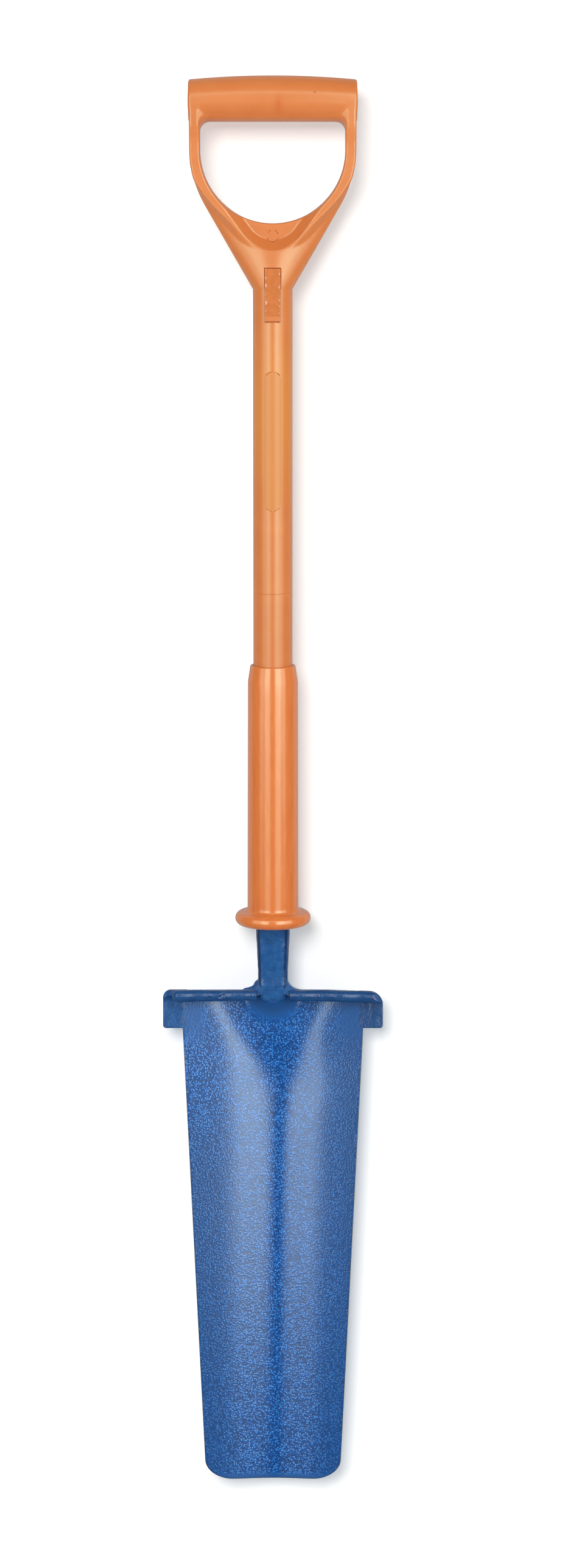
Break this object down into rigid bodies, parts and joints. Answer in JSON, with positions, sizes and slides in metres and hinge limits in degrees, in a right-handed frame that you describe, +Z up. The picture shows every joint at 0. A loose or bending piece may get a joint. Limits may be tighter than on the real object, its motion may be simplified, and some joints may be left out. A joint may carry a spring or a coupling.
{
  "type": "trenching spade",
  "caption": "Long narrow trenching spade: dished steel blade with welded foot treads and forged socket, insulated shaft with guard sleeve, and a moulded D-grip.",
  "frame": {"origin": "middle of the cutting edge", "axes": "+Z up the blade from the cutting edge to the grip, +X across the blade to the right as seen from its hollow face, -Y out of the hollow face, towards which the shaft leans"},
  "size_m": [0.1824, 0.1654, 1.1441],
  "materials": {
    "blade_enamel": "hammered blue enamel on steel plate, bare steel at the cut edges",
    "forging_enamel": "smooth glossy blue enamel on forged steel",
    "bond_resin": "cured resin",
    "rivet_steel": "plain steel",
    "glass_fibre": "drawn glass fibre in resin",
    "indicator_plastic": "smooth contrasting layer",
    "sleeve_plastic": "glossy moulded orange plastic",
    "seal_rubber": "soft black sealing compound",
    "moulded_plastic": "satin moulded orange plastic",
    "label_film": "blank glossy film"
  },
  "bodies": {
    "root": {"blade": "blade_enamel", "left_tread": "forging_enamel", "right_tread": "forging_enamel", "left_neck_weld": "forging_enamel", "right_neck_weld": "forging_enamel", "socket": "forging_enamel", "resin_bond": "bond_resin", "socket_rivets": "rivet_steel", "core_rod": "glass_fibre", "indicator_sheath": "indicator_plastic", "insulating_sleeve": "sleeve_plastic", "sleeve_seal": "seal_rubber", "handle_moulding": "moulded_plastic", "left_end_plug": "moulded_plastic", "right_end_plug": "moulded_plastic", "label": "label_film"}
  },
  "joints": []
}
